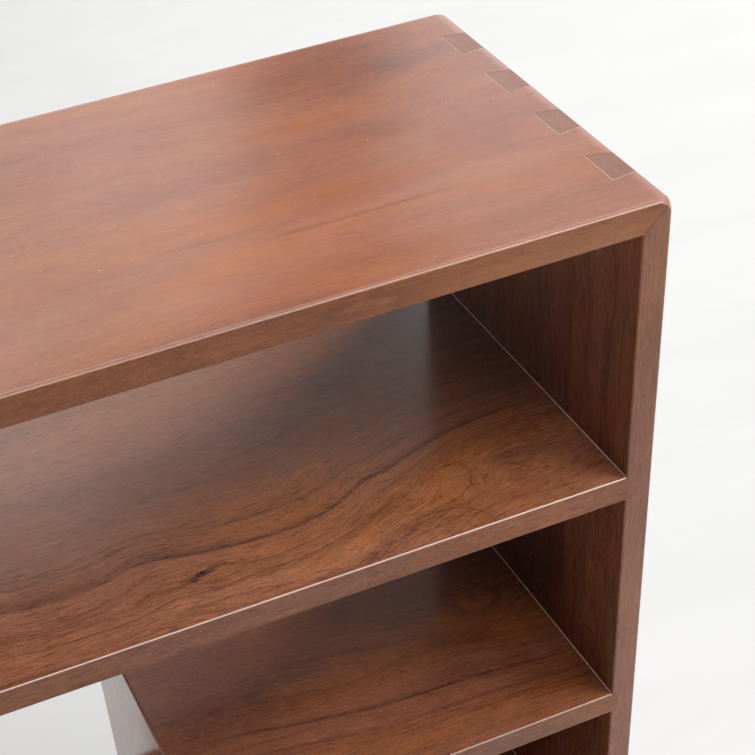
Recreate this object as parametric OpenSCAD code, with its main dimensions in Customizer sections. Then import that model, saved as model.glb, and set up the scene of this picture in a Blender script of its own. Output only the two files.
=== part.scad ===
// Open bookcase in solid hardwood, with fixed shelves above and two
// adjustable shelves below.
//
// The case is a box of four boards. Its corners are through dovetails with
// mitred shoulders at the front and back edges: the sides carry the pins, the
// top and bottom boards carry the tails. Fixed shelves and dividers sit in
// shallow housings, and the half shelf turns down into its divider at a mitre
// with a hidden spline. The two shelves of the lower bays lie loose on brass
// pins in rows of brass sleeves.
//
// Millimetres. x runs to the right, y from front to back, z up. The origin is
// on the floor, under the middle of the case.

/* [Case] */
// Overall width
case_w = 900; // [760:10:1200]
// Overall depth
case_d = 310; // [270:5:360]
// Overall height, from the floor to the top surface
case_h = 1160; // [1080:10:1400]
// Thickness of the boards
board_t = 20; // [18:1:24]

/* [Fixed shelves] */
// Top surface of the case down to the top surface of the upper shelf
step_1 = 205; // [180:5:230]
// Upper shelf down to the half shelf, top surface to top surface
step_2 = 210; // [180:5:230]
// Half shelf down to the deck shelf, top surface to top surface
step_3 = 215; // [180:5:240]
// Right outer face of the case to the left face of the half shelf
half_w = 350; // [280:10:400]
// Middle of the lower divider, from the middle of the case
divider_x = 0; // [-60:10:60]

/* [Corner dovetails] */
// Pins at each end of a side
pin_count = 4; // [3:1:5]
// Width of a pin at the outer face
pin_w = 27; // [18:1:30]
// Length of the slope for one unit of flare
pin_slope = 5.5; // [5:0.5:8]
// Front or back edge to the middle of the nearest pin
pin_inset = 54; // [44:1:64]

/* [Joints and edges] */
// Depth of the housings for shelves and dividers
housing_d = 5; // [3:1:7]
// Radius on the outer corners, where two boards turn into each other
corner_r = 4; // [2:0.5:5]
// Radius on the other outside edges of the case, the half shelf and the plinth
rim_r = 2.5; // [1:0.5:3]
// Radius on the edges of shelves, of dividers and of the openings
ease_r = 1.5; // [0.5:0.5:2.5]
// Thickness of the spline in the mitre of the half shelf
spline_t = 4; // [3:0.5:5]
// Width of the spline, across the mitre
spline_w = 14; // [10:1:15]
// Front or back edge to the end of the spline
spline_stop = 25; // [15:5:60]

/* [Adjustable shelves] */
// Sleeves in each upright row
row_count = 7; // [5:1:9]
// Height from one sleeve to the next
row_pitch = 32; // [25:1:36]
// Front or back edge to the row of sleeves
row_inset = 40; // [30:1:60]
// Sleeve that holds the left shelf, counted from below
left_row = 4; // [1:1:7]
// Sleeve that holds the right shelf, counted from below
right_row = 5; // [1:1:7]
// Thickness of an adjustable shelf
shelf_t = 20; // [16:1:24]
// Gap between the end of a shelf and the wall of its bay
shelf_gap = 1.5; // [1:0.25:3]
// Distance that a shelf stands back from the front and back edges
shelf_back = 3; // [0:1:10]

/* [Shelf pins and sleeves] */
// Diameter of the pin's shank
shank_d = 5; // [4:0.5:6]
// Length of the shank
shank_l = 8; // [6:0.5:8]
// Diameter of the pin's head
head_d = 8; // [7:0.5:10]
// Length of the head
head_l = 9; // [7:0.5:14]
// Height of the flat on the head above the top of the shank
flat_rise = 0.5; // [0:0.25:0.75]
// Wall of a sleeve
sleeve_wall = 1; // [0.75:0.25:1.5]
// Diameter of the sleeve's flange
flange_d = 10; // [9:0.5:12]
// Thickness of the sleeve's flange
flange_t = 0.75; // [0.5:0.25:0.75]
// Radial clearance of round fits
fit = 0.05; // [0.02:0.01:0.1]

/* [Plinth] */
// Height of the plinth, with its glides
plinth_h = 60; // [50:5:100]
// Distance that the plinth stands back from the case
plinth_back_set = 20; // [10:5:40]
// Thickness of the rails
rail_t = 20; // [16:1:24]
// Part of the front and back rails left outside the rebate at their ends
rebate_lip = 8; // [5:1:12]
// Length of a corner block
block_l = 60; // [50:5:80]
// Width of a corner block
block_w = 32; // [26:1:40]
// Diameter of a glide
glide_d = 22; // [16:1:24]
// Thickness of a glide
glide_t = 3; // [2:0.5:5]
// Length of a glide's nail
nail_l = 12; // [8:1:16]
// Width of the glide's chamfer
glide_bevel = 0.75; // [0.5:0.25:1.5]
// Diameter of the screws
screw_d = 4; // [3:0.5:5]
// Length of the screws under the head
screw_l = 36; // [32:1:40]
// Depth of a screw in the bottom board
screw_hold = 14; // [10:1:16]

/* [Hidden] */
$fn = 48;
// Overlap of a cutting shape past the face that it cuts
cut = 1;

front_y = -case_d / 2;
back_y = case_d / 2;
outer_x = case_w / 2;
inner_x = outer_x - board_t;

// Top surfaces of the boards, from the upper shelf down to the bottom board
upper_z = case_h - step_1;
half_z = upper_z - step_2;
deck_z = half_z - step_3;
base_z = plinth_h + board_t;

// Middle of the case's height, over the plinth
mid_z = (case_h + plinth_h) / 2;

// Sphere that rounds the tips of the case, where three edges meet. It is
// centred tip_reach inside the three faces and stays just clear of the edges.
tip_reach = 2.5 * corner_r;
tip_clear = 0.05;
tip_r = sqrt(2) * (tip_reach - rim_r * (1 - sqrt(0.5))) + tip_clear;

// Left and right face of the half divider and of the lower divider
half_x0 = outer_x - half_w;
half_x1 = half_x0 + board_t;
low_x0 = divider_x - board_t / 2;
low_x1 = divider_x + board_t / 2;

// Dovetail pins
pin_root_w = pin_w + 2 * board_t / pin_slope;
pin_pitch = (case_d - 2 * pin_inset) / (pin_count - 1);
pin_ys = [for (i = [0 : pin_count - 1]) front_y + pin_inset + i * pin_pitch];

// Rows of sleeves
bay_h = deck_z - board_t - base_z;
row_z0 = base_z + bay_h / 2 - (row_count - 1) / 2 * row_pitch;
row_zs = [for (i = [0 : row_count - 1]) row_z0 + i * row_pitch];
row_ys = [front_y + row_inset, back_y - row_inset];
left_pin_z = row_zs[min(left_row, row_count) - 1];
right_pin_z = row_zs[min(right_row, row_count) - 1];

// Pins and sleeves. The flat lies above the shank, so that a pin can be drawn
// out from under its shelf.
head_flat = shank_d / 2 + flat_rise;
tip_chamfer = 0.5;
tip_room = 0.5;
hole_room = 0.25;
bore_r = shank_d / 2 + fit;
sleeve_r = bore_r + sleeve_wall;
sleeve_l = shank_l + tip_room;
hole_r = sleeve_r + fit;
hole_l = sleeve_l + hole_room;

// Spline: its place along the mitre, from the outer corner, and the room at
// each edge of its groove
spline_place = 0.6 * board_t;
spline_room = 0.25;

// Plinth
rail_z = glide_t;
rail_h = plinth_h - rail_z;
plinth_x = outer_x - plinth_back_set;
plinth_y = case_d / 2 - plinth_back_set;
lap_y = plinth_y - rebate_lip;
block_x = plinth_x - rail_t;
block_y = plinth_y - rail_t;
fixing_y = block_y - block_w / 2;
glide_margin = 4;
glide_x = block_x - block_l + glide_d / 2 + glide_margin;
nail_r = 2;
nail_point = 4;
screw_inset = 14;
screw_x = block_x - screw_inset;
screw_seat_z = plinth_h + screw_hold - screw_l;
screw_head_r = screw_d;
screw_head_t = 3;
screw_point = 5;
drive_w = 2.8;
drive_depth = 1.8;
well_r = screw_head_r + 1;
end_room = 0.5;

CHERRY = [0.47, 0.29, 0.22];
CHERRY_DARK = [0.34, 0.20, 0.15];
PLINTH = [0.30, 0.18, 0.14];
BRASS = [0.78, 0.62, 0.32];
STEEL = [0.62, 0.62, 0.60];
NYLON = [0.15, 0.14, 0.13];

// ---------------------------------------------------------------------------
// Edges

// What a rounding takes off a square corner. The corner is at the origin and
// the wood lies towards +x and +y.
module nib(r) {
    difference() {
        translate([-cut, -cut]) square(r + cut);
        translate([r, r]) circle(r);
    }
}

// Rectangle with round corners, lower left corner at the origin.
module round_rect(w, h, r) {
    difference() {
        square([w, h]);
        nib(r);
        translate([w, 0]) rotate(90) nib(r);
        translate([w, h]) rotate(180) nib(r);
        translate([0, h]) rotate(270) nib(r);
    }
}

// Turns a shape drawn in y and z, and runs it along x from x0 to x1.
module run_x(x0, x1) {
    translate([x0, 0, 0])
        rotate([90, 0, 90])
            linear_extrude(x1 - x0)
                children();
}

// Turns a shape drawn in x and z, and runs it along y from y0 to y1.
module run_y(y0, y1) {
    translate([0, y1, 0])
        rotate([90, 0, 0])
            linear_extrude(y1 - y0)
                children();
}

// Rounding of the front and back edges that run along x at height z.
// wood is 1 where the wood lies above z, and -1 where it lies below.
module ease_x(x0, x1, z, wood) {
    run_x(x0, x1) {
        translate([front_y, z]) rotate(wood > 0 ? 0 : 270) nib(ease_r);
        translate([back_y, z]) rotate(wood > 0 ? 90 : 180) nib(ease_r);
    }
}

// Rounding of the front and back edges that run up from z0 to z1 at x.
// wood is 1 where the wood lies to the right of x, and -1 to the left.
module ease_z(z0, z1, x, wood) {
    translate([0, 0, z0])
        linear_extrude(z1 - z0) {
            translate([x, front_y]) rotate(wood > 0 ? 0 : 90) nib(ease_r);
            translate([x, back_y]) rotate(wood > 0 ? 270 : 180) nib(ease_r);
        }
}

// Wood outside the sphere that rounds a tip of the case. The tip is at the
// origin, and the case runs from it towards -X, +Y and -Z.
module tip_cut() {
    difference() {
        translate([-tip_reach, -cut, -tip_reach])
            cube(tip_reach + cut);
        translate([-tip_reach, tip_reach, -tip_reach])
            rotate([0, 0, 120])
                sphere(tip_r);
    }
}

// Outside of the case, with its outer edges and its eight tips rounded.
module case_outline() {
    box_h = case_h - plinth_h;
    difference() {
        intersection() {
            run_y(front_y - cut, back_y + cut)
                translate([-outer_x, plinth_h])
                    round_rect(case_w, box_h, corner_r);
            run_x(-outer_x - cut, outer_x + cut)
                translate([front_y, plinth_h])
                    round_rect(case_d, box_h, rim_r);
            translate([-outer_x, front_y, plinth_h - cut])
                linear_extrude(box_h + 2 * cut)
                    round_rect(case_w, case_d, rim_r);
        }
        for (x = [0, 1], y = [0, 1], z = [0, 1])
            translate([0, 0, mid_z])
                mirror([x, 0, 0]) mirror([0, y, 0]) mirror([0, 0, z])
                    translate([outer_x, front_y, case_h - mid_z])
                        tip_cut();
    }
}

// ---------------------------------------------------------------------------
// Corner joint

// Plan of one dovetail pin on the right side. It narrows towards the outer
// face, and past it by over.
module pin_plan(y, over) {
    root = pin_root_w / 2;
    tip = pin_w / 2 - over / pin_slope;
    polygon([
        [inner_x, y - root],
        [outer_x + over, y - tip],
        [outer_x + over, y + tip],
        [inner_x, y + root]
    ]);
}

// The wood that the right side gives to its top corner: the pins, and a wedge
// up to the mitre outside the first and the last pin. It starts a little
// below the joint, inside the side. over takes it past the outer faces.
module corner_wood(over = 0) {
    joint_z = case_h - board_t;
    foot_z = joint_z - cut;
    for (y = pin_ys)
        translate([0, 0, foot_z])
            linear_extrude(board_t + cut + over)
                pin_plan(y, over);
    for (span = [
        [front_y - over, pin_ys[0]],
        [pin_ys[pin_count - 1], back_y + over]
    ])
        run_y(span[0], span[1])
            polygon([
                [inner_x, foot_z],
                [outer_x + over, foot_z],
                [outer_x + over, case_h + over],
                [inner_x, joint_z]
            ]);
}

// The same wood at the bottom corner.
module low_corner_wood(over = 0) {
    translate([0, 0, case_h + plinth_h])
        mirror([0, 0, 1])
            corner_wood(over);
}

// Right side without its housings and holes.
module side_blank() {
    intersection() {
        union() {
            translate([inner_x, front_y, base_z])
                cube([board_t, case_d, case_h - board_t - base_z]);
            corner_wood();
            low_corner_wood();
        }
        case_outline();
    }
}

// Housing in the right side for a shelf whose top surface is at z.
module side_housing(z) {
    translate([inner_x - cut, front_y - cut, z - board_t])
        cube([housing_d + cut, case_d + 2 * cut, board_t]);
}

// ---------------------------------------------------------------------------
// Sleeves and pins, drawn along +z with the face of the wall at z = 0

module sleeve() {
    rotate_extrude()
        polygon([
            [bore_r, -sleeve_l],
            [sleeve_r, -sleeve_l],
            [sleeve_r, 0],
            [flange_d / 2, 0],
            [flange_d / 2, flange_t],
            [bore_r, flange_t]
        ]);
}

module pin_turning() {
    r = shank_d / 2;
    head_r = head_d / 2;
    end_z = flange_t + head_l;
    rotate_extrude()
        polygon([
            [0, -shank_l],
            [r - tip_chamfer, -shank_l],
            [r, tip_chamfer - shank_l],
            [r, flange_t],
            [head_r, flange_t],
            [head_r, end_z - tip_chamfer],
            [head_r - tip_chamfer, end_z],
            [0, end_z]
        ]);
}

// Points a shape drawn along +z along +x or -x.
module aim(way) {
    rotate([0, 90 * way, 0]) children();
}

// A pin in the wall at x, y, z. The head has a flat on top for the shelf.
module shelf_pin(x, y, z, way) {
    flat_l = head_l + cut;
    flat_x = x + (way > 0 ? flange_t : -flange_t - flat_l);
    color(BRASS)
        difference() {
            translate([x, y, z]) aim(way) pin_turning();
            translate([flat_x, y - head_d, z + head_flat])
                cube([flat_l, 2 * head_d, head_d]);
        }
}

// All the sleeves of one wall.
module sleeve_rows(x, way) {
    for (y = row_ys, z = row_zs)
        translate([x, y, z]) aim(way) sleeve();
}

// The holes for them.
module hole_rows(x, way) {
    for (y = row_ys, z = row_zs)
        translate([x, y, z])
            aim(-way)
                translate([0, 0, -cut])
                    cylinder(h = hole_l + cut, r = hole_r);
}

// ---------------------------------------------------------------------------
// Case

module top_board() {
    color(CHERRY)
        difference() {
            intersection() {
                translate([-outer_x, front_y, case_h - board_t])
                    cube([case_w, case_d, board_t]);
                case_outline();
            }
            corner_wood(cut);
            mirror([1, 0, 0]) corner_wood(cut);
            ease_x(-inner_x, inner_x, case_h - board_t, 1);
        }
}

module bottom_board() {
    color(CHERRY_DARK)
        difference() {
            intersection() {
                translate([-outer_x, front_y, plinth_h])
                    cube([case_w, case_d, board_t]);
                case_outline();
            }
            low_corner_wood(cut);
            mirror([1, 0, 0]) low_corner_wood(cut);
            translate([low_x0, front_y - cut, base_z - housing_d])
                cube([board_t, case_d + 2 * cut, housing_d + cut]);
            ease_x(-inner_x, low_x0, base_z, -1);
            ease_x(low_x1, inner_x, base_z, -1);
            at_screws()
                translate([0, 0, plinth_h - cut])
                    cylinder(h = screw_hold + end_room + cut, r = screw_d / 2 + fit);
        }
}

module side_right() {
    color(CHERRY_DARK)
        difference() {
            side_blank();
            side_housing(upper_z);
            side_housing(half_z);
            side_housing(deck_z);
            ease_z(upper_z, case_h - board_t, inner_x, 1);
            ease_z(half_z, upper_z - board_t, inner_x, 1);
            ease_z(deck_z, half_z - board_t, inner_x, 1);
            ease_z(base_z, deck_z - board_t, inner_x, 1);
            hole_rows(inner_x, -1);
        }
}

module side_left() {
    color(CHERRY_DARK)
        difference() {
            mirror([1, 0, 0]) side_blank();
            mirror([1, 0, 0]) side_housing(upper_z);
            mirror([1, 0, 0]) side_housing(deck_z);
            ease_z(upper_z, case_h - board_t, -inner_x, -1);
            ease_z(deck_z, upper_z - board_t, -inner_x, -1);
            ease_z(base_z, deck_z - board_t, -inner_x, -1);
            hole_rows(-inner_x, 1);
        }
}

// ---------------------------------------------------------------------------
// Fixed shelves and dividers

// Board between the sides, its ends in their housings.
module fixed_shelf(z) {
    reach = inner_x + housing_d;
    translate([-reach, front_y, z - board_t])
        cube([2 * reach, case_d, board_t]);
}

module upper_shelf() {
    color(CHERRY)
        difference() {
            fixed_shelf(upper_z);
            ease_x(-inner_x, inner_x, upper_z, -1);
            ease_x(-inner_x, inner_x, upper_z - board_t, 1);
        }
}

module deck_shelf() {
    under_z = deck_z - board_t;
    color(CHERRY)
        difference() {
            fixed_shelf(deck_z);
            translate([half_x0, front_y - cut, deck_z - housing_d])
                cube([board_t, case_d + 2 * cut, housing_d + cut]);
            translate([low_x0, front_y - cut, under_z - cut])
                cube([board_t, case_d + 2 * cut, housing_d + cut]);
            ease_x(-inner_x, half_x0, deck_z, -1);
            ease_x(half_x1, inner_x, deck_z, -1);
            ease_x(-inner_x, low_x0, under_z, 1);
            ease_x(low_x1, inner_x, under_z, 1);
        }
}

// Rounding of the outer corner that the half shelf and its divider share.
module half_corner_round() {
    run_y(front_y - cut, back_y + cut)
        translate([half_x0, half_z])
            rotate(270)
                nib(rim_r);
}

// Spline across the mitre, nearer its inner corner.
module spline_bar(extra) {
    spline_l = case_d - 2 * spline_stop;
    translate([half_x0 + spline_place, -spline_l / 2, half_z - spline_place])
        rotate([0, -45, 0])
            translate([-spline_w / 2 - extra, 0, -spline_t / 2])
                cube([spline_w + 2 * extra, spline_l, spline_t]);
}

module half_shelf() {
    under_z = half_z - board_t;
    reach = inner_x + housing_d;
    color(CHERRY)
        difference() {
            run_y(front_y, back_y)
                polygon([
                    [half_x0, half_z],
                    [half_x1, under_z],
                    [reach, under_z],
                    [reach, half_z]
                ]);
            half_corner_round();
            ease_x(half_x0, inner_x, half_z, -1);
            ease_x(half_x1, inner_x, under_z, 1);
            spline_bar(spline_room);
        }
}

module half_divider() {
    under_z = half_z - board_t;
    color(CHERRY)
        difference() {
            run_y(front_y, back_y)
                polygon([
                    [half_x0, deck_z - housing_d],
                    [half_x1, deck_z - housing_d],
                    [half_x1, under_z],
                    [half_x0, half_z]
                ]);
            half_corner_round();
            ease_z(deck_z, half_z, half_x0, 1);
            ease_z(deck_z, under_z, half_x1, -1);
            spline_bar(spline_room);
        }
}

module mitre_spline() {
    color(CHERRY_DARK) spline_bar(0);
}

module lower_divider() {
    under_z = deck_z - board_t;
    color(CHERRY_DARK)
        difference() {
            translate([low_x0, front_y, base_z - housing_d])
                cube([board_t, case_d, bay_h + 2 * housing_d]);
            ease_z(base_z, under_z, low_x0, 1);
            ease_z(base_z, under_z, low_x1, -1);
            hole_rows(low_x0, -1);
            hole_rows(low_x1, 1);
        }
}

// ---------------------------------------------------------------------------
// Adjustable shelves

// A loose shelf for the bay between x0 and x1, on pins at height pin_z.
module loose_shelf(x0, x1, pin_z) {
    color(CHERRY)
        run_x(x0 + shelf_gap, x1 - shelf_gap)
            translate([front_y + shelf_back, pin_z + head_flat])
                round_rect(case_d - 2 * shelf_back, shelf_t, ease_r);
}

module shelf_left() {
    loose_shelf(-inner_x, low_x0, left_pin_z);
}

module shelf_right() {
    loose_shelf(low_x1, inner_x, right_pin_z);
}

module pin_left_1() {
    shelf_pin(-inner_x, row_ys[0], left_pin_z, 1);
}

module pin_left_2() {
    shelf_pin(-inner_x, row_ys[1], left_pin_z, 1);
}

module pin_left_3() {
    shelf_pin(low_x0, row_ys[0], left_pin_z, -1);
}

module pin_left_4() {
    shelf_pin(low_x0, row_ys[1], left_pin_z, -1);
}

module pin_right_1() {
    shelf_pin(low_x1, row_ys[0], right_pin_z, 1);
}

module pin_right_2() {
    shelf_pin(low_x1, row_ys[1], right_pin_z, 1);
}

module pin_right_3() {
    shelf_pin(inner_x, row_ys[0], right_pin_z, -1);
}

module pin_right_4() {
    shelf_pin(inner_x, row_ys[1], right_pin_z, -1);
}

module sleeves_left() {
    color(BRASS) sleeve_rows(-inner_x, 1);
}

module sleeves_divider() {
    color(BRASS) {
        sleeve_rows(low_x0, -1);
        sleeve_rows(low_x1, 1);
    }
}

module sleeves_right() {
    color(BRASS) sleeve_rows(inner_x, -1);
}

// ---------------------------------------------------------------------------
// Plinth

module at_screws() {
    for (sx = [-1, 1], sy = [-1, 1])
        translate([sx * screw_x, sy * fixing_y, 0])
            children();
}

module at_glides() {
    for (sx = [-1, 1], sy = [-1, 1])
        translate([sx * glide_x, sy * fixing_y, 0])
            children();
}

// Outside of the plinth, its upright corners rounded.
module plinth_outline() {
    translate([-plinth_x, -plinth_y, rail_z - cut])
        linear_extrude(rail_h + 2 * cut)
            round_rect(2 * plinth_x, 2 * plinth_y, rim_r);
}

// Long rail at the front, rebated at both ends for the short rails.
module plinth_front() {
    color(PLINTH)
        difference() {
            intersection() {
                translate([-plinth_x, -plinth_y, rail_z])
                    cube([2 * plinth_x, rail_t, rail_h]);
                plinth_outline();
            }
            for (x = [-plinth_x - cut, plinth_x - rail_t])
                translate([x, -lap_y, rail_z - cut])
                    cube([rail_t + cut, rail_t, rail_h + 2 * cut]);
        }
}

module plinth_back() {
    rotate([0, 0, 180]) plinth_front();
}

module plinth_left() {
    color(PLINTH)
        translate([-plinth_x, -lap_y, rail_z])
            cube([rail_t, 2 * lap_y, rail_h]);
}

module plinth_right() {
    rotate([0, 0, 180]) plinth_left();
}

// Corner blocks, each drilled for a screw up into the case and for the nail
// of its glide.
module plinth_blocks() {
    color(PLINTH)
        difference() {
            for (sx = [-1, 1], sy = [-1, 1])
                translate([
                    sx * (block_x - block_l / 2),
                    sy * (block_y - block_w / 2),
                    rail_z + rail_h / 2
                ])
                    cube([block_l, block_w, rail_h], center = true);
            at_screws() {
                translate([0, 0, rail_z - cut])
                    cylinder(h = rail_h + 2 * cut, r = screw_d / 2 + fit);
                translate([0, 0, rail_z - cut])
                    cylinder(h = screw_seat_z - rail_z + cut, r = well_r);
            }
            at_glides()
                translate([0, 0, rail_z - cut])
                    cylinder(h = nail_l + end_room + cut, r = nail_r + fit);
        }
}

// Screw with its head down and a square recess for the driver. z = 0 is the
// seat of the head.
module screw() {
    r = screw_d / 2;
    difference() {
        rotate_extrude()
            polygon([
                [0, -screw_head_t],
                [screw_head_r, -screw_head_t],
                [screw_head_r, 0],
                [r, 0],
                [r, screw_l - screw_point],
                [0, screw_l]
            ]);
        translate([-drive_w / 2, -drive_w / 2, -screw_head_t - cut])
            cube([drive_w, drive_w, drive_depth + cut]);
    }
}

module plinth_screws() {
    color(STEEL)
        at_screws()
            translate([0, 0, screw_seat_z])
                screw();
}

module glides() {
    r = glide_d / 2;
    tip_z = glide_t + nail_l;
    color(NYLON)
        at_glides()
            rotate_extrude()
                polygon([
                    [0, 0],
                    [r - glide_bevel, 0],
                    [r, glide_bevel],
                    [r, glide_t],
                    [nail_r, glide_t],
                    [nail_r, tip_z - nail_point],
                    [0, tip_z]
                ]);
}

// ---------------------------------------------------------------------------

top_board();
side_left();
side_right();
bottom_board();
upper_shelf();
half_shelf();
half_divider();
mitre_spline();
deck_shelf();
lower_divider();
shelf_left();
shelf_right();
pin_left_1();
pin_left_2();
pin_left_3();
pin_left_4();
pin_right_1();
pin_right_2();
pin_right_3();
pin_right_4();
sleeves_left();
sleeves_divider();
sleeves_right();
plinth_front();
plinth_back();
plinth_left();
plinth_right();
plinth_blocks();
plinth_screws();
glides();
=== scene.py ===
"""Finish of a dovetailed hardwood bookcase: stained timber, joint lines, brass
fittings and a plain studio around it."""

import math
from collections import namedtuple

import bpy
from bpy.props import FloatProperty, FloatVectorProperty, IntProperty, PointerProperty
from mathutils import Euler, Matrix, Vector


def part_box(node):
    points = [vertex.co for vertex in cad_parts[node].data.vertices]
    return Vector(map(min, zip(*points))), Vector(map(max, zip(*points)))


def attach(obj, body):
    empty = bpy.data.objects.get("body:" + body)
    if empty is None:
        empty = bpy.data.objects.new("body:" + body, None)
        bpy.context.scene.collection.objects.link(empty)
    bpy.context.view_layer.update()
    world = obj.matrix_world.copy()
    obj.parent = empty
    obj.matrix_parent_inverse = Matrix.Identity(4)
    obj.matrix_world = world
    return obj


bl_info = {
    "name": "Bookcase finish",
    "version": (1, 0, 0),
    "blender": (4, 5, 0),
    "location": "View3D > Sidebar > Bookcase",
    "description": "Stained timber, joint lines and fittings for a dovetailed bookcase",
    "category": "Object",
}

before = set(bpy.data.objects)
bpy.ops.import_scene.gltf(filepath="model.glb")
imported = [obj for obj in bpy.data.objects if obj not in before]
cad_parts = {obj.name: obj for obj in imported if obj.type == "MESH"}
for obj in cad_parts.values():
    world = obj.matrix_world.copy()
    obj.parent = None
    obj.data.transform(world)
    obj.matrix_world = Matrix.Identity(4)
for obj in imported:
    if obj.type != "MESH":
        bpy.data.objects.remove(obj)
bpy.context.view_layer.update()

MM = 0.001
CASE = "case"


# Sizes and colours that a user would change


def colour(name, text, rgb):
    return FloatVectorProperty(
        name=name, description=text, subtype="COLOR", size=3, min=0.0, max=1.0, default=rgb
    )


def length(name, text, value):
    return FloatProperty(
        name=name, description=text, default=value, min=0.0, subtype="DISTANCE", unit="LENGTH"
    )


def amount(name, text, value, least=0.0):
    return FloatProperty(name=name, description=text, default=value, min=least)


class BookcaseTimber(bpy.types.PropertyGroup):
    """Colours and surface of the stained timber."""

    light: colour("Light wood", "Where the stain took least", (0.352, 0.131, 0.055))
    pale: colour("Pale wood", "Sapwood that the stain left pale", (0.600, 0.215, 0.095))
    middle: colour("Middle wood", "Common tone of the boards", (0.240, 0.079, 0.033))
    dark: colour("Dark wood", "Where the stain went deep", (0.118, 0.038, 0.020))
    line: colour("Growth line", "Late wood in the growth lines", (0.034, 0.013, 0.010))
    knot: colour("Knot", "Heart of a knot", (0.014, 0.008, 0.007))
    end_light: colour("End grain, light", "Ends of the boards, early wood", (0.235, 0.085, 0.043))
    end_dark: colour("End grain, dark", "Ends of the boards, late wood", (0.145, 0.049, 0.027))
    # Painted highlight: pale colour on the rounded upper edges, for the light they catch
    edge_highlight: colour("Worn edge", "Lacquer worn pale along the upper edges", (0.80, 0.62, 0.55))
    dust: colour("Dust", "Specks caught in the lacquer", (0.80, 0.58, 0.42))
    bare: colour("Bare wood", "Corner blocks inside the plinth", (0.330, 0.190, 0.110))
    gloss: amount("Roughness", "Roughness of the satin lacquer", 0.18)


class BookcaseJoints(bpy.types.PropertyGroup):
    """Places and colours of the joints that show."""

    board: length("Board", "Thickness of the boards", 20 * MM)
    pin_count: IntProperty(name="Pins", description="Dovetail pins at a corner", default=4, min=2)
    pin_width: length("Pin width", "Width of a pin at the outer face", 27 * MM)
    pin_slope: amount("Slope", "Length of the slope for one unit of flare", 5.5, 1.0)
    pin_inset: length("Pin inset", "Edge to the middle of the nearest pin", 54 * MM)
    round_outer: length("Corner radius", "Radius on the outer corners", 4 * MM)
    round_shelf: length("Shelf radius", "Radius on the edges of the shelves", 1.5 * MM)
    line_width: length("Line width", "Width of a glue line", 0.42 * MM)
    line_rise: length("Line rise", "Height of a glue line over the wood", 0.03 * MM)
    fillet: length("Lacquer fillet", "Size of the lacquer that gathers in a corner", 0.7 * MM)
    glue: colour("Glue line", "Cured glue under the lacquer", (0.54, 0.35, 0.27))
    gap: colour("Shadow line", "Fine gap beside a joint", (0.045, 0.022, 0.016))
    # Colour of the corner fillets: lacquer, painted pale as the highlight along the corner
    lacquer: colour("Lacquer fillet", "Lacquer that gathers in a corner", (0.70, 0.54, 0.48))


class BookcaseFittings(bpy.types.PropertyGroup):
    """Colours of the metal and nylon parts."""

    brass: colour("Brass", "Turned brass of the shelf pins", (0.72, 0.50, 0.20))
    sleeve: colour("Sleeve brass", "Drawn brass of the sleeves", (0.64, 0.43, 0.17))
    steel: colour("Steel", "Zinc plated screws", (0.56, 0.56, 0.54))
    nylon: colour("Nylon", "Glides under the plinth", (0.030, 0.028, 0.026))


class BookcaseStudio(bpy.types.PropertyGroup):
    """Floor, light and camera."""

    floor: colour("Floor", "Pale floor", (0.62, 0.62, 0.615))
    seen_tone: amount("Floor tone", "Tone of the floor where it is seen", 0.88)
    sky: amount("Room light", "Light from all around", 0.02)
    light: amount("Light", "Strength of all the soft lights", 1.0)
    lens: amount("Lens", "Focal length on a 36 mm wide sensor", 80.65, 1.0)


GROUPS = {
    "bookcase_timber": BookcaseTimber,
    "bookcase_joints": BookcaseJoints,
    "bookcase_fittings": BookcaseFittings,
    "bookcase_studio": BookcaseStudio,
}


# Building shader nodes


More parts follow.
